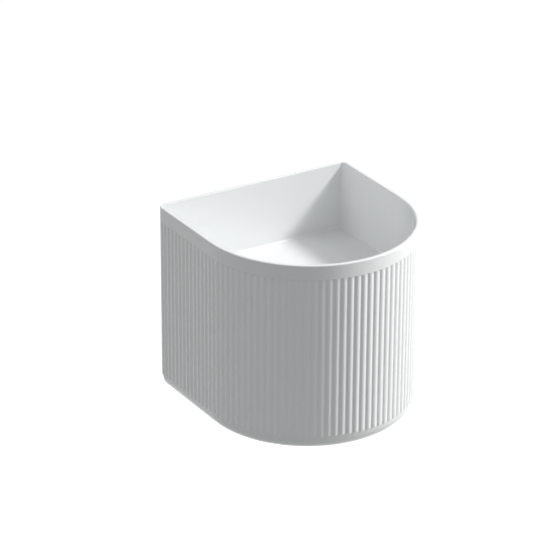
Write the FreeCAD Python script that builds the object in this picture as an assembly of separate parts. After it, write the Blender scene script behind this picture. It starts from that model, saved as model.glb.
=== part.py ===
import FreeCAD, Part
import math
import os

# Wall-hung basin: a deep D-shaped ceramic bowl in one piece with a fluted skirt, an open waste with
# a lift-off cover, a bottle trap inside the skirt, and the two hanger bolts that hold it to a wall.
# Frame: the wall is the plane Y = 0 and the basin stands out towards -Y. +Z is up. The origin is on
# the wall, midway between the two fixing holes.

# Basin: overall sizes
width = 410.0
depth = 400.0
height = 372.0
back_corner_radius = 20.0
foot_edge_radius = 28.0
foot_inset = 2.2

# Basin: rim, bowl and floor
rim_wall = 7.5
rim_edge_radius = 2.3
bowl_depth = 133.0
bowl_draft = 1.2
bowl_corner_radius = 6.0
bowl_foot_radius = 5.0
floor_thickness = 13.0
dish_radius = 70.0
dish_fall = 2.0

# Basin: fluted band of the skirt
rib_count = 48
band_height = 28.0
foot_band_height = 3.0
rib_recess = 0.1
rib_depth = 2.0
valley_share = 0.26

# Basin: inside of the skirt, fixing web and openings
skirt_wall = 10.0
skirt_corner_radius = 8.0
underside_bevel = 7.0
foot_inside_bevel = 12.0
lip_thickness = 10.0
lip_reach = 38.0
lip_bevel = 3.0
opening_corner_radius = 14.0
web_thickness = 15.0
web_clearance = 7.0
fixing_spacing = 280.0
fixing_below_floor = 39.0
fixing_hole_radius = 8.0

# Waste: flange with a threaded tail, G 1 1/4
waste_thread_radius = 20.95
waste_bore_radius = 17.0
waste_mouth_radius = 19.0
waste_mouth_depth = 4.0
waste_hole_clearance = 2.0
waste_flange_radius = 31.5
waste_flange_thickness = 3.0
waste_flange_edge = 1.3
waste_tail = 58.0
flange_seal_thickness = 1.5
recess_clearance = 1.2
spoke_count = 4
spoke_width = 3.0
spoke_height = 4.0
spoke_drop = 2.0
hub_radius = 8.0
hub_height = 11.0
hub_bore_radius = 5.0
waste_pad_thickness = 2.0
waste_pad_rim = 12.0
gasket_radius = 32.0
gasket_thickness = 5.0
slip_washer_radius = 30.0
slip_washer_thickness = 1.6
hexagon_sides = 6
backnut_flats = 56.0
backnut_height = 10.0

# Waste cover
cover_radius = 34.0
cover_thickness = 8.0
cover_dome = 1.6
cover_edge_bevel = 1.6
cover_gap = 5.0
stem_head_radius = 11.0
stem_head_height = 3.0
stem_shoulder_radius = 6.8
stem_clearance = 0.8
stem_below_hub = 3.0
o_ring_section_radius = 0.9
o_ring_clearance = 0.06

# Trap: 32 mm tube, slip nuts, bottle and cup
tube_radius = 16.0
tube_wall = 1.6
slip_nut_wall = 3.7
slip_nut_height = 21.0
slip_nut_flange = 3.0
slip_nut_sides = 8
washer_thickness = 2.4
collar_thickness = 3.0
nut_gap = 12.0
seal_wall = 2.8
seal_depth = 5.0
seal_lip = 1.1
boss_wall = 1.7
boss_below_nut = 1.1
bottle_radius = 33.0
bottle_shoulder = 8.0
bottle_height = 54.0
bottle_wall = 4.2
outlet_below_shoulder = 1.5
outlet_reach = 22.0
spigot_step = 2.6
spigot_length = 10.0
cup_wall = 4.3
cup_height = 46.0
cup_floor = 4.0
cup_edge_bevel = 3.0
cup_seal_thickness = 1.6
cup_key_flats = 24.0
cup_key_height = 5.0
dip_clearance = 10.0
socket_depth = 13.0
wall_insert = 45.0
insertion_mark_width = 1.0
insertion_mark_depth = 0.3
rosette_radius = 32.0
rosette_depth = 13.0
rosette_edge = 3.0
rosette_neck_wall = 2.0

# Hanger bolts M10, one in each fixing hole
bolt_radius = 5.0
bolt_screw_step = 0.25
bolt_in_wall = 62.0
bolt_point = 12.0
bolt_tip_radius = 1.5
bolt_spare = 12.0
bush_flange_radius = 13.0
bush_flange_thickness = 3.0
bolt_washer_radius = 11.5
bolt_washer_thickness = 2.0
bolt_nut_flats = 17.0
bolt_nut_height = 8.0
bolt_bevel = 0.8

# Clearances
seat_gap = 0.1
loose_gap = 0.3
overrun = 20.0

# Radii and lengths that follow from the pieces they fit
stem_radius = hub_bore_radius - stem_clearance
boss_mouth_radius = tube_radius + seal_wall
boss_radius = boss_mouth_radius + boss_wall
boss_height = slip_nut_height - slip_nut_flange - seal_lip + boss_below_nut
spigot_radius = bottle_radius - spigot_step
cup_bore_radius = spigot_radius + loose_gap
cup_radius = cup_bore_radius + cup_wall
bolt_screw_radius = bolt_radius - bolt_screw_step

# Heights worked out from the sizes, from the rim down to the trap's cup
half_width = width / 2
arc_centre_y = half_width - depth
waste_y = arc_centre_y
rim_z = fixing_below_floor + floor_thickness + bowl_depth
foot_z = rim_z - height
rib_top_z = rim_z - band_height
rib_foot_z = foot_z + foot_edge_radius + foot_band_height
floor_z = rim_z - bowl_depth
underside_z = floor_z - floor_thickness
flange_top_z = floor_z - dish_fall
flange_low_z = flange_top_z - waste_flange_thickness
recess_z = flange_low_z - flange_seal_thickness
hub_top_z = flange_top_z - spoke_drop
hub_low_z = hub_top_z - hub_height
cover_low_z = flange_top_z + cover_gap
pad_z = underside_z - waste_pad_thickness
gasket_low_z = pad_z - gasket_thickness
slip_washer_low_z = gasket_low_z - slip_washer_thickness
backnut_low_z = slip_washer_low_z - backnut_height
tail_low_z = underside_z - waste_tail
collar_top_z = tail_low_z - washer_thickness
collar_low_z = collar_top_z - collar_thickness
inlet_nut_low_z = collar_low_z - slip_nut_flange
dip_nut_top_z = inlet_nut_low_z - nut_gap
dip_seal_top_z = dip_nut_top_z - slip_nut_flange
boss_top_z = dip_seal_top_z - seal_lip
boss_low_z = boss_top_z - boss_height
outlet_z = boss_low_z - boss_radius - outlet_below_shoulder
bottle_low_z = boss_low_z - bottle_height
spigot_low_z = bottle_low_z - spigot_length
cup_top_z = bottle_low_z - cup_seal_thickness
cup_low_z = cup_top_z - cup_height
dip_low_z = cup_low_z + cup_floor + dip_clearance
web_low_z = outlet_z + rosette_radius + web_clearance

# Distances from the wall along the outlet
boss_end_y = waste_y + bottle_radius + outlet_reach
outlet_seal_y = boss_end_y + seal_lip
outlet_nut_y = outlet_seal_y + slip_nut_flange

# Directions and places
point = FreeCAD.Vector
UP = point(0, 0, 1)
DOWN = point(0, 0, -1)
TO_WALL = point(0, 1, 0)
ACROSS = point(1, 0, 0)
WASTE = point(0, waste_y, 0)
OUTLET = point(0, 0, outlet_z)


# Shapes shared by several pieces
def line(a, b):
    return Part.LineSegment(a, b).toShape()


def arc(a, middle, b):
    return Part.Arc(a, middle, b).toShape()


def on_front(radius, angle, z):
    """A point at a radius from the centre of the front arc. Angle 0 points to the front."""
    return point(radius * math.sin(angle), arc_centre_y - radius * math.cos(angle), z)


def back_edges(x, back_y, corner, start_y, z):
    """Edges from the right side round the two back corners to the left side."""
    if corner == 0:
        right = point(x, back_y, z)
        left = point(-x, back_y, z)
        return [
            line(point(x, start_y, z), right),
            line(right, left),
            line(left, point(-x, start_y, z)),
        ]
    slant = corner * (1 - math.sqrt(0.5))
    right, left = [
        [
            point(side * x, back_y - corner, z),
            point(side * (x - slant), back_y - slant, z),
            point(side * (x - corner), back_y, z),
        ]
        for side in (1, -1)
    ]
    edges = [arc(*right), line(right[2], left[2]), arc(*left[::-1])]
    if start_y < back_y - corner:
        edges.insert(0, line(point(x, start_y, z), right[0]))
        edges.append(line(left[0], point(-x, start_y, z)))
    return edges


def d_wire(inset, back_y, corner, z):
    """The D outline of the basin, drawn in by an inset, with its own back line and corner radius."""
    x = half_width - inset
    front = arc(point(-x, arc_centre_y, z), point(0, arc_centre_y - x, z), point(x, arc_centre_y, z))
    return Part.Wire([front] + back_edges(x, back_y, corner, arc_centre_y, z))


def extrude(wire, length, direction=UP):
    return Part.Face(wire).extrude(direction * length)


def d_prism(inset, back_y, corner, low, high):
    return extrude(d_wire(inset, back_y, corner, low), high - low)


def level_edges(shape, z, keep=lambda box: True):
    """Edges that lie at one height and whose bounding box passes the test."""
    found = []
    for edge in shape.Edges:
        box = edge.BoundBox
        level = abs(box.ZMin - z) < seat_gap and abs(box.ZMax - z) < seat_gap
        if level and keep(box):
            found.append(edge)
    return found


def outline_turned(profile, base=WASTE, axis=UP):
    """Revolve a closed profile of (radius, place along the axis) about an axis."""
    points = [base + ACROSS * radius + axis * along for radius, along in profile]
    solid = Part.Face(Part.makePolygon(points + points[:1])).revolve(base, axis, 360)
    if solid.Volume < 0:
        solid.reverse()
    return solid


def ring(outer, inner, low, high, base=WASTE, axis=UP):
    return outline_turned([(inner, low), (outer, low), (outer, high), (inner, high)], base, axis)


def disc(radius, low, high, base=WASTE, axis=UP):
    return Part.makeCylinder(radius, high - low, base + axis * low, axis)


def many_sided(flats, sides, low, high, base=WASTE, axis=UP):
    """A prism with an even number of sides, given by its size across flats."""
    corner = ACROSS * (flats / 2 / math.cos(math.pi / sides))
    turns = [FreeCAD.Rotation(axis, 360 * (i + 0.5) / sides) for i in range(sides)]
    points = [base + axis * low + turn.multVec(corner) for turn in turns]
    return extrude(Part.makePolygon(points + points[:1]), high - low, axis)


def hexagon_nut(flats, bore, low, high, base=WASTE, axis=UP):
    blank = many_sided(flats, hexagon_sides, low, high, base, axis)
    return blank.cut(disc(bore, low - overrun, high + overrun, base, axis))


def slip_nut(thread, low, high, base=WASTE, axis=UP):
    """A trap nut: a threaded sleeve whose closed end, at the high side, goes round the tube."""
    bore = thread + loose_gap
    blank = many_sided(2 * (bore + slip_nut_wall), slip_nut_sides, low, high, base, axis)
    return blank.cut([
        disc(bore, low - overrun, high - slip_nut_flange, base, axis),
        disc(tube_radius + loose_gap, low, high + overrun, base, axis),
    ])


def tube_seal(high, base=WASTE, axis=UP):
    """The rubber ring between a boss and its nut: a lip on the boss and a sleeve in its mouth."""
    lip_low = high - seal_lip
    return outline_turned([
        (tube_radius + seat_gap, high),
        (boss_radius - seat_gap, high),
        (boss_radius - seat_gap, lip_low),
        (boss_mouth_radius - seat_gap, lip_low),
        (boss_mouth_radius - seat_gap, lip_low - seal_depth),
        (tube_radius + seat_gap, lip_low - seal_depth),
    ], base, axis)


nodes = {}

# Fluted skirt: the ribs are arcs that meet tangent to each other, crest after valley
rib_angle = math.pi / rib_count
pitch = half_width * rib_angle
side_length = -back_corner_radius - arc_centre_y
side_ribs = round(side_length / pitch)
side_pitch = side_length / side_ribs
crest_share = 1 - valley_share


def rib_heights(step, bend):
    """How far a crest and a valley stand from the chord of their ends.

    The bend is the angle the skirt turns over one rib: it adds to a crest and takes from a valley.
    """
    slope = 2 * math.atan(2 * rib_depth / step)
    crest = step * crest_share / 2 * math.tan((slope + bend * crest_share / 2) / 2)
    valley = step * valley_share / 2 * math.tan((slope - bend * valley_share / 2) / 2)
    return crest, valley


side_crest, side_valley = rib_heights(side_pitch, 0)
front_crest, front_valley = rib_heights(pitch, rib_angle)
joint_x = half_width - rib_recess - side_crest
crest_reach = joint_x * (math.cos(rib_angle * crest_share / 2) - 1) + front_crest
valley_reach = joint_x * (math.cos(rib_angle * valley_share / 2) - 1) - front_valley


def skirt_point(station, side_out, front_out, z):
    """A point so many ribs round from the left back corner, out from the line of the joints."""
    along = station - side_ribs
    if 0 < along < rib_count:
        return on_front(joint_x + front_out, along * rib_angle - math.pi / 2, z)
    if along <= 0:
        return point(-joint_x - side_out, -back_corner_radius - station * side_pitch, z)
    left_over = rib_count + side_ribs - along
    return point(joint_x + side_out, -back_corner_radius - left_over * side_pitch, z)


def rib_wire(z):
    """The skirt's outline through the fluted band."""
    total = 2 * side_ribs + rib_count
    joint = valley_share / 2
    start = skirt_point(joint, 0, 0, z)
    edges = [line(point(-half_width, -back_corner_radius, z), start)]
    for rib in range(total):
        crest = skirt_point(rib + 0.5, side_crest, crest_reach, z)
        end = skirt_point(rib + 1 - joint, 0, 0, z)
        edges.append(arc(start, crest, end))
        if rib < total - 1:
            valley = skirt_point(rib + 1, -side_valley, valley_reach, z)
            start = skirt_point(rib + 1 + joint, 0, 0, z)
            edges.append(arc(end, valley, start))
    edges.append(line(end, point(half_width, -back_corner_radius, z)))
    back = back_edges(half_width, 0, back_corner_radius, -back_corner_radius, z)
    return Part.Wire(edges + back)


def rolled_foot():
    """The foot of the skirt, set in from the ribs, with one rolled edge all the way round."""
    block = d_prism(foot_inset, -foot_inset, 0, foot_z, rib_foot_z)
    block = block.makeFillet(foot_edge_radius, level_edges(block, foot_z))
    reach = back_corner_radius - foot_inset
    roll_z = foot_z + foot_edge_radius
    from_axis = foot_edge_radius - reach
    offcuts = []
    for side in (-1, 1):
        axis = point(side * (half_width - back_corner_radius), -back_corner_radius, 0)

        def on_roll(radius):
            drop = math.sqrt(foot_edge_radius ** 2 - (radius + from_axis) ** 2)
            return axis + point(side * radius, 0, roll_z - drop)

        top = axis + point(0, 0, rib_foot_z)
        rim = axis + point(side * reach, 0, rib_foot_z)
        profile = Part.Wire([
            line(top, rim),
            line(rim, on_roll(reach)),
            arc(on_roll(reach), on_roll(reach / 2), on_roll(0)),
            line(on_roll(0), top),
        ])
        knuckle = Part.Face(profile).revolve(axis, UP, side * 90)
        corner = Part.makeBox(
            back_corner_radius,
            back_corner_radius,
            rib_foot_z - foot_z,
            point(min(side * half_width, axis.x), -back_corner_radius, foot_z))
        offcuts.append(corner.cut(knuckle))
    return block.cut(offcuts)


corner_wall = (
    rim_wall * math.sqrt(2) - (back_corner_radius - bowl_corner_radius) * (math.sqrt(2) - 1))
rim_roll = min(rim_edge_radius, (corner_wall - seat_gap) / 2)
band = d_prism(0, 0, back_corner_radius, rib_top_z, rim_z)
band = band.makeFillet(rim_roll, level_edges(band, rim_z))
fluted = extrude(rib_wire(rib_foot_z), rib_top_z - rib_foot_z)
shell = fluted.multiFuse([rolled_foot(), band]).removeSplitter()


# Bowl: drafted walls, rounded foot, a shallow dish and the stepped hole of the waste
def bowl_wire(z):
    inset = rim_wall + (rim_z - z) * math.tan(math.radians(bowl_draft))
    return d_wire(inset, -inset, bowl_corner_radius, z)


bowl = Part.makeLoft([bowl_wire(floor_z), bowl_wire(rim_z + overrun)], True, True)
bowl = bowl.makeFillet(bowl_foot_radius, level_edges(bowl, floor_z))
recess_radius = waste_flange_radius + recess_clearance
waste_hole_radius = waste_thread_radius + waste_hole_clearance
dish_slope = dish_fall / (dish_radius - recess_radius)
dish = outline_turned([
    (0, recess_z),
    (recess_radius, recess_z),
    (recess_radius, flange_top_z),
    (dish_radius + overrun, floor_z + overrun * dish_slope),
    (0, floor_z + overrun * dish_slope),
])
waste_hole = disc(waste_hole_radius, pad_z - overrun, floor_z)

# Skirt: the hollow under the bowl with a pad left standing round the waste hole
hollow = d_prism(skirt_wall, -web_thickness, skirt_corner_radius, foot_z + lip_thickness, underside_z)
bevel = min(underside_bevel, skirt_corner_radius - seat_gap)
hollow = hollow.makeChamfer(bevel, level_edges(hollow, underside_z))
room = d_prism(skirt_wall, overrun, 0, foot_z + lip_thickness, underside_z)
room_edges = level_edges(room, foot_z + lip_thickness, lambda box: box.YMin < 0)
hollow = hollow.common(room.makeChamfer(foot_inside_bevel, room_edges))
hollow = hollow.cut(disc(waste_hole_radius + waste_pad_rim, pad_z, underside_z + overrun))

# Skirt: the opening underneath and at the back, and the fixing holes
under = d_prism(lip_reach, overrun, 0, foot_z - overrun, foot_z + lip_thickness + overrun)
under_flare = Part.makeLoft([
    d_wire(lip_reach, overrun, 0, foot_z + lip_bevel),
    d_wire(lip_reach - lip_bevel, overrun, 0, foot_z),
], True, True)
opening_x = half_width - lip_reach
behind = Part.makeBox(
    2 * opening_x,
    web_thickness + skirt_corner_radius + overrun,
    web_low_z - foot_z + overrun,
    point(-opening_x, -web_thickness - skirt_corner_radius, foot_z - overrun))
ends = level_edges(behind, web_low_z, lambda box: box.XLength < opening_x)
behind = behind.makeFillet(opening_corner_radius, ends)
FIXINGS = [point(side * fixing_spacing / 2, 0, 0) for side in (-1, 1)]
fixing_holes = [disc(fixing_hole_radius, -web_thickness - overrun, overrun, place, TO_WALL)
                for place in FIXINGS]
basin = shell.cut([bowl, dish, waste_hole, hollow, under, under_flare, behind] + fixing_holes)
mouth = level_edges(basin, rim_z, lambda box: (
    box.XMax < half_width - rim_roll - seat_gap / 2
    and box.XMin > rim_roll + seat_gap / 2 - half_width
    and box.YMax < -rim_roll - seat_gap / 2))
basin = basin.makeFillet(rim_roll, mouth)
nodes["basin_body"] = basin

# Waste cover: a domed ceramic disc on a stem with a sealing ring
cover_top_z = cover_low_z + cover_thickness
nodes["waste_cover"] = outline_turned([
    (0, cover_low_z),
    (cover_radius, cover_low_z),
    (cover_radius, cover_top_z - cover_dome - cover_edge_bevel),
    (cover_radius - cover_edge_bevel, cover_top_z - cover_dome),
    (0, cover_top_z),
])

stem_low_z = hub_low_z - stem_below_hub
head_low_z = cover_low_z - stem_head_height
o_ring_radius = hub_bore_radius - o_ring_clearance - o_ring_section_radius
o_ring_z = (hub_top_z + hub_low_z) / 2
groove_floor = o_ring_radius - o_ring_section_radius - seat_gap
groove_half = o_ring_section_radius + seat_gap
nodes["cover_stem"] = outline_turned([
    (0, cover_low_z),
    (stem_head_radius, cover_low_z),
    (stem_head_radius, head_low_z),
    (stem_shoulder_radius, head_low_z),
    (stem_shoulder_radius, hub_top_z),
    (stem_radius, hub_top_z),
    (stem_radius, o_ring_z + groove_half),
    (groove_floor, o_ring_z + groove_half),
    (groove_floor, o_ring_z - groove_half),
    (stem_radius, o_ring_z - groove_half),
    (stem_radius, stem_low_z),
    (0, stem_low_z),
])
nodes["cover_o_ring"] = ring(
    o_ring_radius + o_ring_section_radius,
    o_ring_radius - o_ring_section_radius,
    o_ring_z - o_ring_section_radius,
    o_ring_z + o_ring_section_radius)

# Waste: flange, spokes and threaded tail in one piece
flange = outline_turned([
    (waste_bore_radius, tail_low_z),
    (waste_thread_radius, tail_low_z),
    (waste_thread_radius, flange_low_z),
    (waste_flange_radius, flange_low_z),
    (waste_flange_radius, flange_top_z - waste_flange_edge),
    (waste_flange_radius - waste_flange_edge, flange_top_z),
    (waste_mouth_radius, flange_top_z),
    (waste_bore_radius, flange_top_z - waste_mouth_depth),
])
spoke_reach = (waste_bore_radius + waste_thread_radius) / 2
spokes = []
for i in range(spoke_count):
    spoke = Part.makeBox(
        spoke_reach,
        spoke_width,
        spoke_height,
        point(0, -spoke_width / 2, hub_top_z - waste_mouth_depth - spoke_height))
    spoke.rotate(point(), UP, 360 * i / spoke_count)
    spoke.translate(WASTE)
    spokes.append(spoke)
flange = flange.multiFuse(spokes + [disc(hub_radius, hub_low_z, hub_top_z)])
flange = flange.cut(disc(hub_bore_radius, hub_low_z - overrun, hub_top_z + overrun))
nodes["waste_flange"] = flange.removeSplitter()

# Waste: rubber seals, washer and backnut
tail_gap_radius = waste_thread_radius + loose_gap
nodes["flange_seal"] = ring(waste_flange_radius - loose_gap, waste_hole_radius, recess_z, flange_low_z)
nodes["waste_gasket"] = ring(gasket_radius, tail_gap_radius, gasket_low_z, pad_z)
nodes["slip_washer"] = ring(slip_washer_radius, tail_gap_radius, slip_washer_low_z, gasket_low_z)
backnut_bore = waste_thread_radius + seat_gap
nodes["backnut"] = hexagon_nut(backnut_flats, backnut_bore, backnut_low_z, slip_washer_low_z)

# Trap: inlet nut, washer and the collared tube that dips into the bottle
nodes["trap_inlet_nut"] = slip_nut(
    waste_thread_radius, -inlet_nut_low_z - slip_nut_height, -inlet_nut_low_z, WASTE, DOWN)
nodes["inlet_washer"] = ring(waste_thread_radius - loose_gap, waste_bore_radius, collar_top_z, tail_low_z)
tube_bore_radius = tube_radius - tube_wall
nodes["dip_tube"] = outline_turned([
    (tube_bore_radius, dip_low_z),
    (tube_radius, dip_low_z),
    (tube_radius, collar_low_z),
    (waste_thread_radius - loose_gap, collar_low_z),
    (waste_thread_radius - loose_gap, collar_top_z),
    (tube_bore_radius, collar_top_z),
])
nodes["dip_tube_nut"] = slip_nut(boss_radius, dip_nut_top_z - slip_nut_height, dip_nut_top_z)
nodes["dip_tube_seal"] = tube_seal(dip_seal_top_z)

# Trap: the bottle with its inlet boss, outlet boss and threaded spigot
chamber_radius = bottle_radius - bottle_wall
bottle = outline_turned([
    (0, boss_top_z),
    (boss_radius, boss_top_z),
    (boss_radius, boss_low_z),
    (bottle_radius, boss_low_z - bottle_shoulder),
    (bottle_radius, bottle_low_z),
    (spigot_radius, bottle_low_z),
    (spigot_radius, spigot_low_z),
    (0, spigot_low_z),
])
bottle = bottle.fuse(disc(boss_radius, waste_y, boss_end_y, OUTLET, TO_WALL))
tube_hole_radius = tube_radius + loose_gap
chamber = outline_turned([
    (0, boss_top_z + overrun),
    (boss_mouth_radius, boss_top_z + overrun),
    (boss_mouth_radius, boss_top_z - seal_depth),
    (tube_hole_radius, boss_top_z - seal_depth),
    (tube_hole_radius, boss_low_z - bottle_shoulder - bottle_wall),
    (chamber_radius, boss_low_z - bottle_shoulder - bottle_wall),
    (chamber_radius, spigot_low_z - overrun),
    (0, spigot_low_z - overrun),
])
socket = outline_turned([
    (0, waste_y),
    (tube_bore_radius, waste_y),
    (tube_bore_radius, boss_end_y - socket_depth),
    (tube_hole_radius, boss_end_y - socket_depth),
    (tube_hole_radius, boss_end_y - seal_depth),
    (boss_mouth_radius, boss_end_y - seal_depth),
    (boss_mouth_radius, boss_end_y + overrun),
    (0, boss_end_y + overrun),
], OUTLET, TO_WALL)
nodes["trap_body"] = bottle.cut([chamber, socket])

# Trap: the cup that unscrews from the spigot, with its sealing ring and a key to turn it by
cup = outline_turned([
    (0, cup_low_z),
    (cup_radius - cup_edge_bevel, cup_low_z),
    (cup_radius, cup_low_z + cup_edge_bevel),
    (cup_radius, cup_top_z),
    (cup_bore_radius, cup_top_z),
    (cup_bore_radius, cup_low_z + cup_floor),
    (0, cup_low_z + cup_floor),
])
cup_key = many_sided(
    cup_key_flats,
    hexagon_sides,
    cup_low_z - cup_key_height,
    cup_low_z + cup_floor / 2)
nodes["trap_cup"] = cup.fuse(cup_key)
nodes["cup_seal"] = ring(bottle_radius, cup_bore_radius, cup_top_z, bottle_low_z)

# Outlet: tube into the wall with its nut, seal and wall rosette
nodes["outlet_nut"] = slip_nut(boss_radius, outlet_nut_y - slip_nut_height, outlet_nut_y, OUTLET, TO_WALL)
nodes["outlet_seal"] = tube_seal(outlet_seal_y, OUTLET, TO_WALL)
mark_floor = tube_radius - insertion_mark_depth
nodes["outlet_tube"] = outline_turned([
    (tube_bore_radius, boss_end_y - socket_depth),
    (tube_radius, boss_end_y - socket_depth),
    (tube_radius, -insertion_mark_width),
    (mark_floor, -insertion_mark_width),
    (mark_floor, 0),
    (tube_radius, 0),
    (tube_radius, wall_insert),
    (tube_bore_radius, wall_insert),
], OUTLET, TO_WALL)
neck_inner = tube_radius + seat_gap
neck_outer = neck_inner + rosette_neck_wall
nodes["wall_rosette"] = outline_turned([
    (neck_inner, 0),
    (rosette_radius, 0),
    (rosette_radius, -rosette_edge),
    (neck_outer, -rosette_edge),
    (neck_outer, -rosette_depth),
    (neck_inner, -rosette_depth),
], OUTLET, TO_WALL)

# Fixings: hanger bolts with flanged bushes, washers and nuts, measured from the wall
bush_y = -web_thickness - bush_flange_thickness
bolt_washer_y = bush_y - bolt_washer_thickness
bolt_nut_y = bolt_washer_y - bolt_nut_height
bolt_end_y = bolt_nut_y - bolt_spare
bolt_gap_radius = bolt_radius + loose_gap
bolts = []
bushes = []
washers = []
nuts = []
for place in FIXINGS:
    bolts.append(outline_turned([
        (0, bolt_end_y),
        (bolt_radius - bolt_bevel, bolt_end_y),
        (bolt_radius, bolt_end_y + bolt_bevel),
        (bolt_radius, 0),
        (bolt_screw_radius, 0),
        (bolt_screw_radius, bolt_in_wall - bolt_point),
        (bolt_tip_radius, bolt_in_wall),
        (0, bolt_in_wall),
    ], place, TO_WALL))
    bushes.append(outline_turned([
        (bolt_gap_radius, bush_y),
        (bush_flange_radius, bush_y),
        (bush_flange_radius, -web_thickness),
        (fixing_hole_radius - loose_gap, -web_thickness),
        (fixing_hole_radius - loose_gap, 0),
        (bolt_gap_radius, 0),
    ], place, TO_WALL))
    washers.append(ring(bolt_washer_radius, bolt_gap_radius, bolt_washer_y, bush_y, place, TO_WALL))
    nut_bore = bolt_radius + seat_gap
    nuts.append(hexagon_nut(bolt_nut_flats, nut_bore, bolt_nut_y, bolt_washer_y, place, TO_WALL))
nodes["hanger_bolts"] = Part.makeCompound(bolts)
nodes["bolt_bushes"] = Part.makeCompound(bushes)
nodes["bolt_washers"] = Part.makeCompound(washers)
nodes["bolt_nuts"] = Part.makeCompound(nuts)

os.makedirs("parts", exist_ok=True)
for name, shape in nodes.items():
    shape.exportStep("parts/" + name + ".step")
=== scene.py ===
import math

import bmesh
import bpy
from mathutils import Matrix, Vector


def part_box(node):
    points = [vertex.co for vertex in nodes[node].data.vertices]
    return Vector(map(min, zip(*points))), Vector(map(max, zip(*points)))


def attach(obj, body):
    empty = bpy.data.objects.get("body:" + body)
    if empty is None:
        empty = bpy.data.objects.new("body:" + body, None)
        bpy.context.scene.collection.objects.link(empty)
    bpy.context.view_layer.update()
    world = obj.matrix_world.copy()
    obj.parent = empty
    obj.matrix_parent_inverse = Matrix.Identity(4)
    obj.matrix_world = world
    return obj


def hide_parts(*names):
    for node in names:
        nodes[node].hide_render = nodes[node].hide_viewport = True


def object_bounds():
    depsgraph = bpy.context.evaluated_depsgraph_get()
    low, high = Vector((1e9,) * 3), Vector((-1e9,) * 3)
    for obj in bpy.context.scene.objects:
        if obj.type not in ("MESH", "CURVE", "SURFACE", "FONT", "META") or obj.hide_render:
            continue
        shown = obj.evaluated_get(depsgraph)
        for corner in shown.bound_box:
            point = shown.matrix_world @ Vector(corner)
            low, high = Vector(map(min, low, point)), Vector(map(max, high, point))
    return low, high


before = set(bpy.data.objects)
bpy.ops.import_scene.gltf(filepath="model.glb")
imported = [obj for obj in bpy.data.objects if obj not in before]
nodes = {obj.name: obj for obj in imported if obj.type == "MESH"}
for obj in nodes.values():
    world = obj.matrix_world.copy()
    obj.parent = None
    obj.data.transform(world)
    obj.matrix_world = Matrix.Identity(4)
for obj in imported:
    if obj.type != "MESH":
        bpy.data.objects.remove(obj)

cad_low, cad_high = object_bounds()


# The basin: one casting of fireclay with a thick clear-white glaze, fired glossy. Bowl, rim and
# fluted skirt come out of one mould, and the glaze softens every edge and pools a little in the
# flutes. It shows the modelled solid itself, with its facets joined into one skin.
def linear(code):
    """An sRGB hex colour as linear red, green, blue and alpha."""
    shares = [int(code[i:i + 2], 16) / 255 for i in (1, 3, 5)]
    return [s / 12.92 if s <= 0.04045 else ((s + 0.055) / 1.055) ** 2.4 for s in shares] + [1]


def add_node(tree, kind, inputs=None, **settings):
    """Adds a node: an input given as a socket is linked, and any other value is set."""
    node = tree.nodes.new(kind)
    for name, value in settings.items():
        setattr(node, name, value)
    for name, value in (inputs or {}).items():
        if isinstance(value, bpy.types.NodeSocket):
            tree.links.new(value, node.inputs[name])
        else:
            node.inputs[name].default_value = value
    return node


def new_material(name):
    """A material with nothing in it but what this file adds."""
    material = bpy.data.materials.new(name)
    material.use_nodes = True
    material.node_tree.nodes.clear()
    return material, material.node_tree


def finish_material(tree, shader):
    """Ends a material with the shader that shows on its surface."""
    add_node(tree, "ShaderNodeOutputMaterial", {"Surface": shader.outputs[0]})


def unevenness(tree, size, detail):
    """A soft uneven pattern of a given size, fixed to the piece."""
    place = add_node(tree, "ShaderNodeTexCoord").outputs["Object"]
    return add_node(tree, "ShaderNodeTexNoise", {
        "Vector": place, "Scale": 1 / size, "Detail": detail}).outputs["Fac"]


def raised(tree, pattern, strength, depth):
    """The surface's direction where a pattern raises it by a given depth."""
    return add_node(tree, "ShaderNodeBump", {
        "Height": pattern, "Strength": strength, "Distance": depth}).outputs["Normal"]


mm = 0.001
sharpest_smooth_edge = math.radians(32)
weld_distance = 0.005 * mm
skin = bpy.data.node_groups.new("one_skin", "GeometryNodeTree")
for way in ("INPUT", "OUTPUT"):
    skin.interface.new_socket("Geometry", in_out=way, socket_type="NodeSocketGeometry")
facets = add_node(skin, "NodeGroupInput").outputs["Geometry"]
joined = add_node(
    skin, "GeometryNodeMergeByDistance", {"Geometry": facets, "Distance": weld_distance})
smooth = add_node(skin, "GeometryNodeSetShadeSmooth", {"Geometry": joined.outputs[0]})
bend = add_node(skin, "GeometryNodeInputMeshEdgeAngle").outputs["Unsigned Angle"]
crisp = add_node(
    skin, "FunctionNodeCompare", {"A": bend, "B": sharpest_smooth_edge}, operation="GREATER_THAN")
edged = add_node(skin, "GeometryNodeSetShadeSmooth", {
    "Geometry": smooth.outputs[0],
    "Selection": crisp.outputs[0],
    "Shade Smooth": False,
}, domain="EDGE")
add_node(skin, "NodeGroupOutput", {"Geometry": edged.outputs[0]})


def finish_skin(piece, material):
    """Gives a piece its material, and smooth shading between its crisp edges."""
    piece.data.materials.clear()
    piece.data.materials.append(material)
    piece.modifiers.new("one_skin", "NODES").node_group = skin
    even = piece.modifiers.new("even_faces", "WEIGHTED_NORMAL")
    even.keep_sharp = True


# Glossy white glaze: a sharp reflection over a white body that is a little soft from pooling.
pool_width = 30 * mm
pool_depth = 0.12 * mm
glaze, tree = new_material("white_glaze_on_fireclay")
finish_material(tree, add_node(tree, "ShaderNodeBsdfPrincipled", {
    "Base Color": linear("#F1F2F2"),
    "Roughness": 0.06,
    "IOR": 1.5,
    "Normal": raised(tree, unevenness(tree, pool_width, 2.0), 0.2, pool_depth),
}))
basin = nodes["basin_body"]
finish_skin(basin, glaze)


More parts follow.
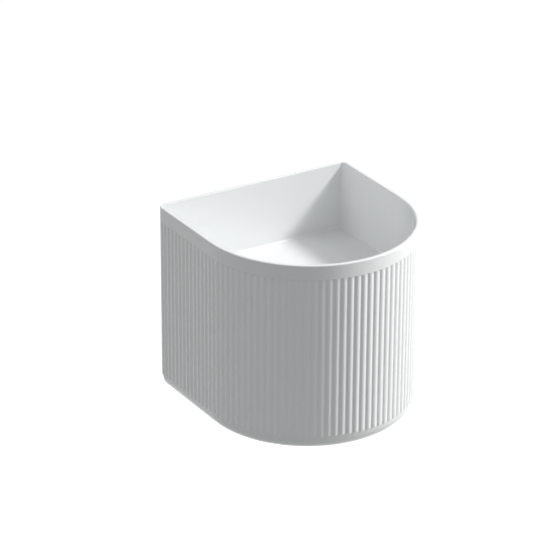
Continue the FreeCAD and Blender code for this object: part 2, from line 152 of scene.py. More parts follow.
# The fixings: an M10 hanger bolt each side, screwed into a wall plug by its coarse end. A flanged
# bush keeps it off the ceramic, and a washer and a nut on its machine thread pull the basin to the
# wall. Bolts, washers and nuts are zinc-plated steel; the bushes are moulded polyethylene.
def turned(outline, base, axis, form=None, steps=96):
    """Turns a closed outline of (radius, place along the axis) about an axis.

    A form may change the radius: it is given the angle, the place along the axis and the radius.
    """
    side = Vector((1, 0, 0))
    other = axis.cross(side)
    vertices, rows, faces = [], [], []
    for radius, along in outline:
        centre = base + axis * along
        if radius == 0:
            rows.append([len(vertices)] * steps)
            vertices.append(centre)
            continue
        rows.append(range(len(vertices), len(vertices) + steps))
        for i in range(steps):
            angle = 2 * math.pi * i / steps
            reach = form(angle, along, radius) if form else radius
            vertices.append(centre + (side * math.cos(angle) + other * math.sin(angle)) * reach)
    for row, above in zip(rows, rows[1:] + rows[:1]):
        for i in range(steps):
            j = (i + 1) % steps
            corners = list(dict.fromkeys((row[i], row[j], above[j], above[i])))
            if len(corners) > 2:
                faces.append(corners)
    return vertices, faces


longest_ease_share = 0.45


def eased(outline, ease, parts=4):
    """A closed outline with its corners rounded; a third number gives a corner its own radius."""
    points = []
    for k, corner in enumerate(outline):
        here = Vector(corner[:2])
        before = Vector(outline[k - 1][:2]) - here
        after = Vector(outline[(k + 1) % len(outline)][:2]) - here
        radius = corner[2] if len(corner) > 2 else ease
        if here.x == 0 or radius == 0:
            points.append(tuple(here))
            continue
        reach = min(
            radius / math.tan(before.angle(after) / 2),
            before.length * longest_ease_share,
            after.length * longest_ease_share)
        start = here + before.normalized() * reach
        end = here + after.normalized() * reach
        for part in range(parts + 1):
            s = part / parts
            points.append(tuple(start * (1 - s) ** 2 + here * (2 * s * (1 - s)) + end * s ** 2))
    return points


def straight(radius, start, end, step):
    """Points close together along a straight run, for a thread or ribs to be cut in."""
    count = max(2, round(abs(end - start) / step))
    return [(radius, start + (end - start) * i / count, 0) for i in range(count + 1)]


def thread(pitch, depth, start, end, least, narrow=1.0):
    """The form of a screw thread between two places; a narrow one has wide valleys.

    Nothing is cut where the radius is under the least one.
    """
    def form(angle, along, radius):
        if radius < least or not start < along < end:
            return radius
        turn = (along / pitch - angle / (2 * math.pi)) % 1
        ridge = max(0.0, 1 - narrow * abs(2 * turn - 1))
        fade = min(1.0, (along - start) / pitch, (end - along) / pitch)
        return radius - depth * (1 - ridge) * fade
    return form


def many_sided(sides, flats):
    """The form of a prism with its flats at the first angle, as cut from a round blank."""
    def form(angle, along, radius):
        half = math.pi / sides
        from_flat = (angle + half) % (2 * half) - half
        return min(radius, flats / 2 / math.cos(from_flat))
    return form


def turn_outwards(mesh):
    """Makes every face of a closed mesh look outwards."""
    loose = bmesh.new()
    loose.from_mesh(mesh)
    bmesh.ops.recalc_face_normals(loose, faces=loose.faces)
    loose.to_mesh(mesh)
    loose.free()


def made(name, material, node, body, slot, *shapes):
    """Joins shapes into one piece that stands for a modelled solid and moves with its body."""
    vertices, faces = [], []
    for points, sides in shapes:
        faces += [[len(vertices) + corner for corner in side] for side in sides]
        vertices += points
    mesh = bpy.data.meshes.new(name)
    mesh.from_pydata(vertices, [], faces)
    piece = bpy.data.objects.new(name, mesh)
    bpy.context.scene.collection.objects.link(piece)
    turn_outwards(mesh)
    finish_skin(piece, material)
    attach(piece, body)
    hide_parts(node)


nut_land_share = 0.95
nut_bevel = math.radians(30)
nut_lead = 0.8 * mm


def nut(flats, bore, low, high, base, axis, sides=6, parts=6):
    """A nut with the turned bevel that runs up and down over its corners."""
    corner = flats / 2 / math.cos(math.pi / sides)
    land = flats / 2 * nut_land_share
    drop = (corner - land) * math.tan(nut_bevel)
    lead = min(nut_lead, (land - bore) / 3)
    rim = [(land + (corner - land) * k / parts, drop * k / parts) for k in range(parts + 1)]
    outline = [(bore, low + lead), (bore + lead, low)]
    outline += [(radius, low + inset) for radius, inset in rim]
    outline += [(radius, high - inset) for radius, inset in rim[::-1]]
    outline += [(bore + lead, high), (bore, high - lead)]
    return turned(eased(outline, 0), base, axis, many_sided(sides, flats), steps=120)


def plate(outer, bore, low, high, base, axis, ease):
    """A washer, ring or collar with eased edges."""
    return turned(eased([(bore, low), (outer, low), (outer, high), (bore, high)], ease), base, axis)


def between(tree, pattern, least, most):
    """A value that follows a pattern from one number to another."""
    return add_node(tree, "ShaderNodeMapRange", {
        "Value": pattern, "To Min": least, "To Max": most}).outputs[0]


# Bright zinc plate: a bluish grey metal, even and half matt from the plating bath.
bloom_width = 3 * mm
zinc, tree = new_material("zinc_plate_on_steel")
finish_material(tree, add_node(tree, "ShaderNodeBsdfPrincipled", {
    "Base Color": linear("#C3C6CA"),
    "Metallic": 1.0,
    "Roughness": between(tree, unevenness(tree, bloom_width, 3.0), 0.28, 0.42),
}))

# Natural polyethylene: milky and waxy, with a soft broad shine straight from the mould.
polyethylene, tree = new_material("moulded_natural_polyethylene")
finish_material(tree, add_node(tree, "ShaderNodeBsdfPrincipled", {
    "Base Color": linear("#E9E8E1"),
    "Roughness": 0.42,
    "IOR": 1.51,
    "Subsurface Weight": 0.2,
    "Subsurface Scale": 1.5 * mm,
}))

# Room left all round a piece that slides over another, and round one that grips it.
clearance = 0.3 * mm
close_fit = 0.1 * mm

to_wall = Vector((0, 1, 0))
bolt_low, bolt_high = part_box("hanger_bolts")
bush_low, bush_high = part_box("bolt_bushes")
washer_low, washer_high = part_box("bolt_washers")
nut_low, nut_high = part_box("bolt_nuts")
bolt_radius = (bolt_high.z - bolt_low.z) / 2
bolt_room = bolt_radius + clearance
bolt_chamfer = 0.8 * mm
thread_core = 1 * mm
machine_pitch = 1.5 * mm
machine_depth = 0.9 * mm
screw_radius = bolt_radius - 0.25 * mm
screw_pitch = 4.5 * mm
screw_depth = 1.15 * mm
screw_runout = 4 * mm
half_neck = 2 * mm
neck_depth = 0.6 * mm
point_length = 12 * mm
point_parts = 25
point_radius = 1.5 * mm
tip_radius = 1.2 * mm
tip_length = 0.3 * mm
hole_radius = 8 * mm
bush_flange = 3 * mm
washer_ease = 0.4 * mm
bolt_nut_flats = 17 * mm

screw_end = bolt_high.y - point_length
machine_form = thread(
    machine_pitch, machine_depth, bolt_low.y + bolt_chamfer, -half_neck, thread_core)
screw_form = thread(
    screw_pitch, screw_depth, half_neck, bolt_high.y - screw_runout, thread_core, narrow=2.6)


def bolt_form(angle, along, radius):
    """A machine thread on the basin's side of the neck, and a wood screw's on the wall's side."""
    return screw_form(angle, along, machine_form(angle, along, radius))


shank = [(0, bolt_low.y, 0), (bolt_radius - bolt_chamfer, bolt_low.y, 0)]
shank += straight(bolt_radius, bolt_low.y + bolt_chamfer, -half_neck, machine_pitch / 8)
shank += [(bolt_radius - neck_depth, sign * (half_neck - neck_depth), 0) for sign in (-1, 1)]
shank += straight(screw_radius, half_neck, screw_end, screw_pitch / 14)
for k in range(1, point_parts):
    share = k / point_parts
    shank.append((
        screw_radius + (point_radius - screw_radius) * share,
        screw_end + point_length * share,
        0))
shank += [(tip_radius, bolt_high.y - tip_length, 0), (0, bolt_high.y, 0)]

web_face = washer_high.y + bush_flange
bush_outline = [
    (bolt_room, bush_low.y),
    (bush_high.z, bush_low.y),
    (bush_high.z, web_face),
    (hole_radius - clearance, web_face, 0.2 * mm),
    (hole_radius - clearance, bush_high.y),
    (bolt_room, bush_high.y),
]
for hand, sign in (("left", -1), ("right", 1)):
    fixing = Vector((sign * (bolt_high.x - bolt_radius), 0, 0))
    made(hand + "_hanger_bolt", zinc, "hanger_bolts", "basin", "zinc_steel",
         turned(eased(shank, 0), fixing, to_wall, bolt_form, steps=48))
    made(hand + "_bush", polyethylene, "bolt_bushes", "basin", "washer_plastic",
         turned(eased(bush_outline, 0.6 * mm), fixing, to_wall))
    made(hand + "_washer", zinc, "bolt_washers", "basin", "zinc_steel",
         plate(washer_high.z, bolt_room, washer_low.y, washer_high.y, fixing, to_wall, washer_ease))
    made(hand + "_nut", zinc, "bolt_nuts", "basin", "zinc_steel",
         nut(bolt_nut_flats, bolt_radius + close_fit, nut_low.y, nut_high.y, fixing, to_wall))


# The waste: a flange with four spokes and a threaded tail, G 1 1/4, cast and turned in brass and
# chromed. It is dropped through the floor of the bowl on a rubber ring, and clamped from below by
# a brass backnut over a rubber gasket and a plastic washer.
def bar(section, start, end, across):
    """A bar from start to end; its section is given as (across, up) from the bar's line."""
    points = [
        place + across * side + up * rise for place in (start, end) for side, rise in section]
    count = len(section)
    sides = [[i, (i + 1) % count, (i + 1) % count + count, i + count] for i in range(count)]
    return points, sides + [list(range(count))[::-1], list(range(count, 2 * count))]


# Chrome over polished brass: a cool mirror, with the faintest haze from the polishing.
chrome, tree = new_material("polished_chrome_on_brass")
finish_material(tree, add_node(tree, "ShaderNodeBsdfPrincipled", {
    "Base Color": linear("#C8CACB"),
    "Metallic": 1.0,
    "Roughness": 0.07,
}))

# Turned brass: yellow and bright. The lathe's own marks, 0.15 mm apart, are too fine to show, and
# the surface has faint uneven bands 12 mm apart instead. The wave's own length is 0.314 at scale 1.
wave_length = 0.314
band_spacing = 12 * mm
band_depth = 0.05 * mm
brass, tree = new_material("turned_brass")
bands = add_node(tree, "ShaderNodeTexWave", {
    "Vector": add_node(tree, "ShaderNodeTexCoord").outputs["Object"],
    "Scale": wave_length / band_spacing,
    "Distortion": 1.5,
    "Detail": 2.0,
}, bands_direction="Z")
finish_material(tree, add_node(tree, "ShaderNodeBsdfPrincipled", {
    "Base Color": linear("#D9B36A"),
    "Metallic": 1.0,
    "Roughness": 0.3,
    "Normal": raised(tree, bands.outputs[0], 0.2, band_depth),
}))

# Black rubber: moulded and matt, a touch grey from the bloom that such rings come with.
rubber_grain = 0.8 * mm
rubber, tree = new_material("moulded_black_rubber")
finish_material(tree, add_node(tree, "ShaderNodeBsdfPrincipled", {
    "Base Color": linear("#232324"),
    "Roughness": between(tree, unevenness(tree, rubber_grain, 2.0), 0.5, 0.68),
    "IOR": 1.52,
}))

up = Vector((0, 0, 1))
flange_low, flange_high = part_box("waste_flange")
seal_low, seal_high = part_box("flange_seal")
gasket_low, gasket_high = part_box("waste_gasket")
slip_low, slip_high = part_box("slip_washer")
backnut_low, backnut_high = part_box("backnut")
drain = Vector((0, (flange_low.y + flange_high.y) / 2, 0))
tail_radius = 20.95 * mm
tail_room = tail_radius + clearance
tail_bore = 17 * mm
tail_core = 19 * mm
tail_chamfer = 1.1 * mm
tail_plain = 1 * mm
pipe_pitch = 2.309 * mm
pipe_depth = 1.4 * mm
flange_thickness = 3 * mm
mouth_radius = 19 * mm
mouth_depth = 4 * mm
hub_radius = 8 * mm
hub_bore = 5 * mm
hub_top = flange_high.z - 2 * mm
hub_length = 11 * mm
spoke_top = hub_top - 4 * mm
spoke_width = 3 * mm
spoke_height = 4 * mm
spoke_root = 1 * mm
spoke_count = 4
seal_bore = 22.95 * mm
ring_ease = 0.4 * mm
broken_edge = 0.3 * mm
gasket_bevel = 1.5 * mm
backnut_flats = 56 * mm

flange_under = flange_high.z - flange_thickness
flange_outline = [
    (tail_bore, flange_low.z, 0.4 * mm),
    (tail_radius - tail_chamfer, flange_low.z, 0.2 * mm),
] + straight(tail_radius, flange_low.z + 1.2 * mm, flange_under - tail_plain, pipe_pitch / 8) + [
    (tail_radius, flange_under, broken_edge),
    (flange_high.x, flange_under, broken_edge),
    (flange_high.x, flange_high.z, 1.8 * mm),
    (mouth_radius, flange_high.z, 0.8 * mm),
    (tail_bore, flange_high.z - mouth_depth, 1.0 * mm),
]
pipe_form = thread(
    pipe_pitch, pipe_depth, flange_low.z + tail_plain, flange_high.z - mouth_depth, tail_core)
arch_shares = [
    (-0.5, -1), (0.5, -1), (0.5, -0.25), (0.42, -0.1), (0.25, -0.02), (0, 0),
    (-0.25, -0.02), (-0.42, -0.1), (-0.5, -0.25)]
spoke_section = [(side * spoke_width, rise * spoke_height) for side, rise in arch_shares]
spoke_line = drain + up * spoke_top
spokes = []
for k in range(spoke_count):
    turn = Matrix.Rotation(k * 2 * math.pi / spoke_count, 3, "Z")
    outwards = turn @ Vector((1, 0, 0))
    spokes.append(bar(
        spoke_section,
        spoke_line + outwards * (hub_radius - spoke_root),
        spoke_line + outwards * (tail_bore + spoke_root),
        turn @ Vector((0, 1, 0))))
made("waste", chrome, "waste_flange", "basin", "chromed_brass",
     turned(eased(flange_outline, broken_edge), drain, up, pipe_form, steps=128),
     plate(hub_radius, hub_bore, hub_top - hub_length, hub_top, drain, up, 0.7 * mm),
     *spokes)
made("flange_ring", rubber, "flange_seal", "basin", "black_rubber",
     plate(seal_high.x, seal_bore, seal_low.z, seal_high.z, drain, up, ring_ease))
made("floor_gasket", rubber, "waste_gasket", "basin", "black_rubber", turned(eased([
    (tail_room, gasket_low.z),
    (gasket_high.x - gasket_bevel, gasket_low.z, 0.8 * mm),
    (gasket_high.x, gasket_high.z - gasket_bevel, 0.5 * mm),
    (gasket_high.x, gasket_high.z, broken_edge),
    (tail_room, gasket_high.z),
], ring_ease), drain, up))
made("slip_ring", polyethylene, "slip_washer", "basin", "washer_plastic",
     plate(slip_high.x, tail_room, slip_low.z, slip_high.z, drain, up, broken_edge))
made("locknut", brass, "backnut", "basin", "raw_brass",
     nut(backnut_flats, tail_radius + close_fit, backnut_low.z, backnut_high.z, drain, up))


# The cover: a domed disc of the same glazed ceramic, cast to match the basin. A white acetal peg
# is glued under it and stands in the hub of the waste, where a rubber ring holds it.
cover_low, cover_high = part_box("waste_cover")
peg_low, peg_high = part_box("cover_stem")
peg_ring_low, peg_ring_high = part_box("cover_o_ring")
cover_radius = cover_high.x
dome = 1.6 * mm
dome_parts = 12
recess_radius = 16 * mm
recess_depth = 0.8 * mm
foot_radius = 17 * mm
foot_edge = 1 * mm
edge_round = 2.6 * mm
edge_fullness = 0.95
edge_parts = 6
peg_radius = 4.2 * mm
peg_pad = 3 * mm
peg_collar = 6.8 * mm
peg_ring_width = 1.8 * mm
groove_radius = peg_ring_high.x - peg_ring_width - close_fit
groove_high = peg_ring_high.z + close_fit
groove_low = peg_ring_low.z - close_fit
groove_ease = 0.15 * mm

# Acetal: dense white plastic with a smooth, slightly greasy shine.
acetal, tree = new_material("moulded_white_acetal")
finish_material(tree, add_node(tree, "ShaderNodeBsdfPrincipled", {
    "Base Color": linear("#ECECE8"),
    "Roughness": 0.28,
    "IOR": 1.48,
    "Subsurface Weight": 0.1,
    "Subsurface Scale": 1 * mm,
}))

cover_outline = [
    (0, cover_low.z + recess_depth),
    (recess_radius, cover_low.z + recess_depth),
    (foot_radius, cover_low.z),
    (cover_radius - foot_edge, cover_low.z),
]
edge_top = cover_high.z - dome
for k in range(edge_parts + 1):
    way = math.radians(180 * k / edge_parts - 90)
    cover_outline.append((
        cover_radius - edge_round + edge_round * math.cos(way * edge_fullness),
        (cover_low.z + edge_top) / 2 + (edge_top - cover_low.z) / 2 * math.sin(way)))
for k in range(1, dome_parts + 1):
    share = 1 - k / dome_parts
    cover_outline.append((
        (cover_radius - edge_round) * share,
        cover_high.z - dome * share ** 2))
made("cover_disc", glaze, "waste_cover", "cover", "cover_ceramic",
     turned(cover_outline, drain, up))
made("cover_peg", acetal, "cover_stem", "cover", "stem_plastic", turned(eased([
    (0, peg_high.z),
    (peg_high.x, peg_high.z, 0.2 * mm),
    (peg_high.x, peg_high.z - peg_pad, 0.8 * mm),
    (peg_collar, peg_high.z - peg_pad, 0.8 * mm),
    (peg_collar, hub_top),
    (peg_radius, hub_top, 0.2 * mm),
    (peg_radius, groove_high, groove_ease),
    (groove_radius, groove_high, groove_ease),
    (groove_radius, groove_low, groove_ease),
    (peg_radius, groove_low, groove_ease),
    (peg_radius, peg_low.z, 1.2 * mm),
    (0, peg_low.z),
], 0.4 * mm), drain, up))
made("peg_ring", rubber, "cover_o_ring", "cover", "black_rubber",
     plate(peg_ring_high.x, peg_ring_high.x - peg_ring_width, peg_ring_low.z, peg_ring_high.z,
           drain, up, 0.85 * mm))


# The bottle trap: moulded white polypropylene, as plumbers fit it under a basin. A slip nut holds
# the dip tube to the waste's tail and another seals it in the bottle; the cup unscrews by its key.
tube = 16 * mm
tube_room = tube + clearance
tube_bore = tube - 1.6 * mm
boss = 20.5 * mm
boss_mouth = 18.8 * mm
nut_wall = 3.7 * mm
nut_sleeve = 2.5 * mm
nut_end = 3 * mm
nut_skirt = 2.6 * mm
skirt_step = 0.1 * mm
lugs = 8
lug_share = 0.52
lug_flank_share = 0.28
shoulder_round = [(0, 3 * mm), (0.7 * mm, 1.2 * mm), (2.2 * mm, 0)]


def slip_nut(threaded, low, high, base, axis):
    """A trap nut with grip lugs round a plain sleeve, open at the low side."""
    bore = threaded + clearance
    flat = bore + nut_wall
    corner = flat / math.cos(math.pi / lugs)
    sleeve = bore + nut_sleeve

    def form(angle, along, radius):
        if radius < sleeve:
            return radius
        half = math.pi / lugs
        from_lug = abs((angle + half + half) % (2 * half) - half)
        rise = min(1.0, max(0.0, (lug_share * half - from_lug) / (lug_flank_share * half)))
        rise = rise * rise * (3 - 2 * rise)
        skirt = flat if along < low + nut_skirt else sleeve
        return min(radius, max(skirt, sleeve + (corner - sleeve) * rise))

    outline = [
        (bore, low, 0.5 * mm),
        (corner, low, 0.9 * mm),
        (corner, low + nut_skirt - skirt_step, 0),
        (corner, low + nut_skirt + skirt_step, 0),
    ] + [(corner - inset, high - drop, 0) for inset, drop in shoulder_round] + [
        (tube_room, high, 0.5 * mm),
        (tube_room, high - nut_end, broken_edge),
        (bore, high - nut_end, broken_edge),
    ]
    return turned(eased(outline, 0), base, axis, form, steps=192)


def tube_ring(low, high, base, axis, lip):
    """The ring between a boss and its tube: a lip on the boss and a sleeve in its mouth."""
    return turned(eased([
        (tube + close_fit, high),
        (boss - close_fit, high),
        (boss - close_fit, high - lip),
        (boss_mouth - close_fit, high - lip),
        (boss_mouth - close_fit, low),
        (tube + close_fit, low),
    ], ring_ease), base, axis)


# Polypropylene: white with a satin mould finish; the sparked grain of 0.4 mm is drawn at 0.8 mm.
spark_grain = 0.8 * mm
spark_depth = 0.05 * mm
polypropylene, tree = new_material("moulded_white_polypropylene")
finish_material(tree, add_node(tree, "ShaderNodeBsdfPrincipled", {
    "Base Color": linear("#EDEDEA"),
    "Roughness": 0.34,
    "IOR": 1.49,
    "Subsurface Weight": 0.12,
    "Subsurface Scale": 1.5 * mm,
    "Normal": raised(tree, unevenness(tree, spark_grain, 1.0), 0.12, spark_depth),
}))

down = Vector((0, 0, -1))
inlet_low, inlet_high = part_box("trap_inlet_nut")
inlet_ring_low, inlet_ring_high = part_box("inlet_washer")
dip_low, dip_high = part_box("dip_tube")
dip_nut_low, dip_nut_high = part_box("dip_tube_nut")
dip_ring_low, dip_ring_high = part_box("dip_tube_seal")
ring_lip = 1.1 * mm
collar = 3 * mm
made("inlet_nut", polypropylene, "trap_inlet_nut", "basin", "trap_plastic",
     slip_nut(tail_radius, -inlet_high.z, -inlet_low.z, drain, down))
made("inlet_ring", rubber, "inlet_washer", "basin", "black_rubber",
     plate(inlet_ring_high.x, tail_bore, inlet_ring_low.z, inlet_ring_high.z, drain, up, ring_ease))
made("dip_pipe", polypropylene, "dip_tube", "basin", "trap_plastic", turned(eased([
    (tube_bore, dip_low.z),
    (tube, dip_low.z),
    (tube, dip_high.z - collar, 1.5 * mm),
    (dip_high.x, dip_high.z - collar),
    (dip_high.x, dip_high.z),
    (tube_bore, dip_high.z),
], 0.5 * mm), drain, up))
made("bottle_nut", polypropylene, "dip_tube_nut", "basin", "trap_plastic",
     slip_nut(boss, dip_nut_low.z, dip_nut_high.z, drain, up))
made("bottle_ring", rubber, "dip_tube_seal", "basin", "black_rubber",
     tube_ring(dip_ring_low.z, dip_ring_high.z, drain, up, ring_lip))

bottle_low, bottle_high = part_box("trap_body")
cup_low, cup_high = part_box("trap_cup")
cup_ring_low, cup_ring_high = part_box("cup_seal")
outlet_tube_low, outlet_tube_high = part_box("outlet_tube")
outlet = Vector((0, 0, (outlet_tube_low.z + outlet_tube_high.z) / 2))
bottle_radius = bottle_high.x
bottle_wall = 4.2 * mm
chamber = bottle_radius - bottle_wall
spigot = bottle_radius - 2.6 * mm
spigot_room = spigot + clearance
bottle_end = cup_high.z + 1.6 * mm
boss_foot = bottle_high.z - 18 * mm
boss_end = bottle_high.y
mouth_floor = 5 * mm
outlet_floor = 13 * mm
shoulder = boss_foot - 8 * mm
cup_pitch = 3 * mm
cup_depth = 0.9 * mm
thread_end = 1 * mm
thread_run = 1.5 * mm
spigot_core = chamber + 1 * mm
moulded_radius = 3.5 * mm
boss_root = 3.5 * mm
boss_skin = boss_mouth + 1 * mm
flare_step = 0.5 * mm


def boss_form(angle, along, radius):
    """The outlet boss flares into the round of the bottle with a moulded radius."""
    if radius < boss_skin:
        return radius
    wall = drain.y + math.sqrt(bottle_radius ** 2 - (boss * math.cos(angle)) ** 2)
    past = max(0.0, along - wall)
    if past >= moulded_radius:
        return radius
    return radius + moulded_radius - math.sqrt(moulded_radius ** 2 - (moulded_radius - past) ** 2)


bottle_outline = [
    (tube_room, bottle_high.z - mouth_floor, broken_edge),
    (boss_mouth, bottle_high.z - mouth_floor, broken_edge),
    (boss_mouth, bottle_high.z, broken_edge),
    (boss, bottle_high.z, broken_edge),
    (boss, boss_foot, 3 * mm),
    (bottle_radius, shoulder, 6 * mm),
    (bottle_radius, bottle_end, 0.5 * mm),
    (spigot, bottle_end, broken_edge),
] + straight(spigot, bottle_end - thread_run, bottle_low.z + thread_run, cup_pitch / 10) + [
    (spigot - 0.8 * mm, bottle_low.z, 0.2 * mm),
    (chamber, bottle_low.z, broken_edge),
    (chamber, shoulder - bottle_wall, 3 * mm),
    (tube_room, shoulder - bottle_wall, 0.5 * mm),
]
spigot_form = thread(
    cup_pitch, cup_depth, bottle_low.z + thread_end, bottle_end - thread_end, spigot_core,
    narrow=1.6)
outlet_start = drain.y + bottle_radius - boss_root
flare_end = drain.y + bottle_radius + moulded_radius + 1 * mm
boss_outline = [
    (tube_bore, outlet_start),
    (boss, outlet_start, 0),
] + straight(boss, outlet_start + flare_step, flare_end, flare_step) + [
    (boss, boss_end, broken_edge),
    (boss_mouth, boss_end, broken_edge),
    (boss_mouth, boss_end - mouth_floor, broken_edge),
    (tube_room, boss_end - mouth_floor, broken_edge),
    (tube_room, boss_end - outlet_floor, broken_edge),
    (tube_bore, boss_end - outlet_floor, broken_edge),
]
made("bottle", polypropylene, "trap_body", "basin", "trap_plastic",
     turned(eased(bottle_outline, 0.4 * mm), drain, up, spigot_form, steps=128),
     turned(eased(boss_outline, 0), outlet, to_wall, boss_form, steps=128))

cup_radius = cup_high.x
cup_foot = cup_low.z + 5 * mm
cup_floor = cup_foot + 4 * mm
cup_skin = cup_radius - 0.5 * mm
key_flats = 24 * mm
key_corner = key_flats / 2 / math.cos(math.pi / 6)
key_land_share = 0.9
key_end = cup_foot + 0.2 * mm
key_form = many_sided(6, key_flats)
grip_ribs = 36
grip_depth = 1.1 * mm
grip_low = cup_foot + 8 * mm
grip_high = cup_high.z - 6 * mm
grip_fade = 3 * mm
grip_fullness = 0.7


def cup_form(angle, along, radius):
    """A hexagonal key under the cup, and upright grip ribs round its side."""
    if along <= key_end and radius < key_flats:
        return key_form(angle, along, radius)
    if radius < cup_skin or not grip_low < along < grip_high:
        return radius
    fade = min(1.0, (along - grip_low) / grip_fade, (grip_high - along) / grip_fade)
    valley = (0.5 - 0.5 * math.cos(grip_ribs * angle)) ** grip_fullness
    return radius - grip_depth * fade * valley


made("bottle_cup", polypropylene, "trap_cup", "cup", "trap_plastic", turned(eased([
    (0, cup_low.z),
    (key_corner, cup_low.z, 0.8 * mm),
    (key_corner, cup_foot, 0),
    (key_flats * key_land_share, cup_foot, 0),
    (cup_radius, cup_foot, 3.4 * mm),
] + straight(cup_radius, cup_foot + 7.5 * mm, cup_high.z - 4 * mm, 1 * mm) + [
    (cup_radius, cup_high.z, 0.8 * mm),
    (spigot_room, cup_high.z, 0.5 * mm),
    (spigot_room, cup_floor, 3 * mm),
    (0, cup_floor),
], 0.4 * mm), drain, up, cup_form, steps=216))
made("cup_ring", rubber, "cup_seal", "cup_carrier", "black_rubber",
     plate(cup_ring_high.x, spigot_room, cup_ring_low.z, cup_ring_high.z, drain, up, ring_ease))


# The outlet: a 32 mm polypropylene tube from the bottle's boss into the wall socket, held by a
# slip nut and a rubber ring. A rosette slides on it and hides the hole in the wall.
outlet_nut_low, outlet_nut_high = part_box("outlet_nut")
outlet_ring_low, outlet_ring_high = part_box("outlet_seal")
rosette_low, rosette_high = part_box("wall_rosette")
rosette_radius = rosette_high.x
rosette_edge = 1.8 * mm
neck_radius = tube + 2.1 * mm
dish_radius = rosette_radius - 1 * mm
dish_end = rosette_high.y - 2.6 * mm
dish_parts = 11
dish_flare = 1.6
dish_rise = 0.55
mark_depth = 0.3 * mm
mark_width = 1 * mm
mark_ease = 0.1 * mm
made("outlet_collar", polypropylene, "outlet_nut", "basin", "trap_plastic",
     slip_nut(boss, outlet_nut_low.y, outlet_nut_high.y, outlet, to_wall))
made("outlet_ring", rubber, "outlet_seal", "basin", "black_rubber",
     tube_ring(outlet_ring_low.y, outlet_ring_high.y, outlet, to_wall, ring_lip))
made("outlet_pipe", polypropylene, "outlet_tube", "basin", "trap_plastic", turned(eased([
    (tube_bore, outlet_tube_low.y),
    (tube, outlet_tube_low.y),
    (tube, -mark_width, mark_ease),
    (tube - mark_depth, -mark_width, mark_ease),
    (tube - mark_depth, 0, mark_ease),
    (tube, 0, mark_ease),
    (tube, outlet_tube_high.y),
    (tube_bore, outlet_tube_high.y),
], 0.5 * mm), outlet, to_wall))
rosette_outline = [
    (tube + close_fit, rosette_high.y),
    (tube + close_fit, rosette_low.y),
    (neck_radius, rosette_low.y),
]
for k in range(1, dish_parts):
    share = k / dish_parts
    rosette_outline.append((
        neck_radius + (dish_radius - neck_radius) * share ** dish_flare,
        rosette_low.y + (dish_end - rosette_low.y) * share ** dish_rise))
rosette_outline += [
    (rosette_radius, rosette_high.y - rosette_edge),
    (rosette_radius, rosette_high.y),
]
made("rosette", polypropylene, "wall_rosette", "basin", "trap_plastic",
     turned(rosette_outline, outlet, to_wall))


# The floor: pale matt board well below the basin, as far down as the rim hangs above a room's
# floor. It is white to the camera and keeps the basin's shadow, and is clear from underneath.
def seen(tree):
    """1 where the camera sees a thing straight, in a reflection or through glass, and else 0."""
    path = add_node(tree, "ShaderNodeLightPath").outputs
    share = path["Is Camera Ray"]
    for ray in ("Is Glossy Ray", "Is Transmission Ray"):
        share = add_node(
            tree, "ShaderNodeMath", {0: share, 1: path[ray]}, operation="MAXIMUM").outputs[0]
    return share


rim_above_floor = 850 * mm
half_floor = 30.0
floor_height = cad_high.z - rim_above_floor
floor_corners = [(-1, -1), (1, -1), (1, 1), (-1, 1)]
floor_mesh = bpy.data.meshes.new("floor")
floor_mesh.from_pydata(
    [(x * half_floor, y * half_floor, floor_height) for x, y in floor_corners],
    [], [(0, 1, 2, 3)])
floor = bpy.data.objects.new("floor", floor_mesh)
bpy.context.scene.collection.objects.link(floor)
board, tree = new_material("painted_board")
paint = add_node(tree, "ShaderNodeBsdfDiffuse", {"Color": linear("#A0A09F")})
white = add_node(tree, "ShaderNodeEmission", {"Color": linear("#FFFFFF"), "Strength": 0.82})
nothing = add_node(tree, "ShaderNodeEmission", {"Color": linear("#000000"), "Strength": 0.0})
lift = add_node(
    tree, "ShaderNodeMixShader", {0: seen(tree), 1: nothing.outputs[0], 2: white.outputs[0]})
face = add_node(tree, "ShaderNodeAddShader", {0: paint.outputs[0], 1: lift.outputs[0]})
under = add_node(tree, "ShaderNodeNewGeometry").outputs["Backfacing"]
clear = add_node(tree, "ShaderNodeBsdfTransparent", {"Color": linear("#FFFFFF")})
finish_material(tree, add_node(
    tree, "ShaderNodeMixShader", {0: under, 1: face.outputs[0], 2: clear.outputs[0]}))
floor_mesh.materials.append(board)


# The camera stands where the photograph was taken from: far off, to the front left and above.
def facing(way):
    """A turn that looks back along a direction, with its top upwards."""
    return (-way).to_track_quat("-Z", "Y").to_matrix().to_4x4()


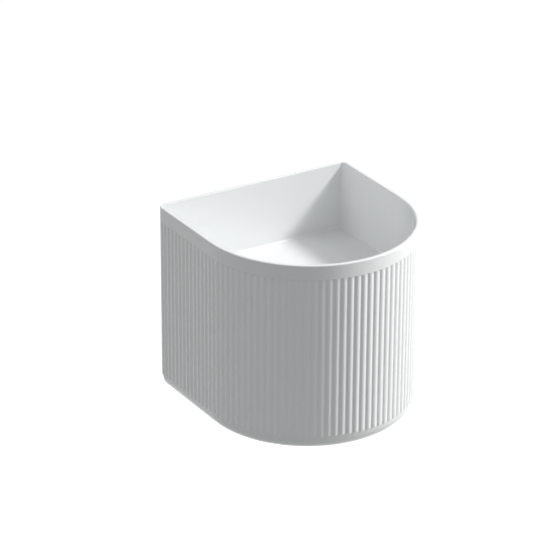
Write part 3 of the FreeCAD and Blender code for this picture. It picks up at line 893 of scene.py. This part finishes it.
def towards(azimuth, elevation):
    """A direction from the basin; azimuth 0 is in front of it and 90 on its right."""
    a, e = math.radians(azimuth), math.radians(elevation)
    return Vector((math.sin(a) * math.cos(e), -math.cos(a) * math.cos(e), math.sin(e)))


eye_distance = 5.863
eye_roll = math.radians(0.587)
aim = Vector((0, -0.201, 0))
away = towards(-32.36, 25.78)
camera = bpy.data.objects.new("camera", bpy.data.cameras.new("camera"))
bpy.context.scene.collection.objects.link(camera)
camera.data.sensor_width = 36
camera.data.lens = 204.7
camera.data.shift_x = -0.05
camera.data.shift_y = 0.056
camera.data.clip_start = 0.1
camera.data.clip_end = 80
camera.matrix_world = Matrix.Translation(aim + away * eye_distance) @ (
    facing(away) @ Matrix.Rotation(eye_roll, 4, "Z"))
bpy.context.scene.camera = camera


# Light: a softbox and a small window high on the right, a wide panel low on the right, a wide weak
# one high behind the left side, and an even white room.
def add_panel(name, azimuth, elevation, distance, size, power):
    """A square lamp that faces the basin."""
    way = towards(azimuth, elevation)
    lamp = bpy.data.objects.new(name, bpy.data.lights.new(name, "AREA"))
    lamp.data.size = size
    lamp.data.energy = power
    lamp.matrix_world = Matrix.Translation(aim + way * distance) @ facing(way)
    bpy.context.scene.collection.objects.link(lamp)


add_panel("softbox", azimuth=65, elevation=42.6, distance=4.0, size=0.66, power=126)
add_panel("side_panel", azimuth=60, elevation=-4, distance=3.0, size=1.2, power=24)
add_panel("left_panel", azimuth=-110, elevation=42, distance=4.0, size=2.6, power=13)
add_panel("window", azimuth=57, elevation=55, distance=4.0, size=0.3, power=9)

world = bpy.data.worlds.new("white_room")
bpy.context.scene.world = world
world.use_nodes = True
tree = world.node_tree
tree.nodes.clear()
room_light = add_node(
    tree, "ShaderNodeBackground", {"Color": linear("#FAFDFF"), "Strength": 0.375})
backdrop = add_node(tree, "ShaderNodeBackground", {"Color": linear("#FFFFFF"), "Strength": 1.0})
either = add_node(tree, "ShaderNodeMixShader", {
    0: seen(tree), 1: room_light.outputs[0], 2: backdrop.outputs[0]})
add_node(tree, "ShaderNodeOutputWorld", {"Surface": either.outputs[0]})

bpy.context.scene.view_settings.view_transform = "Standard"
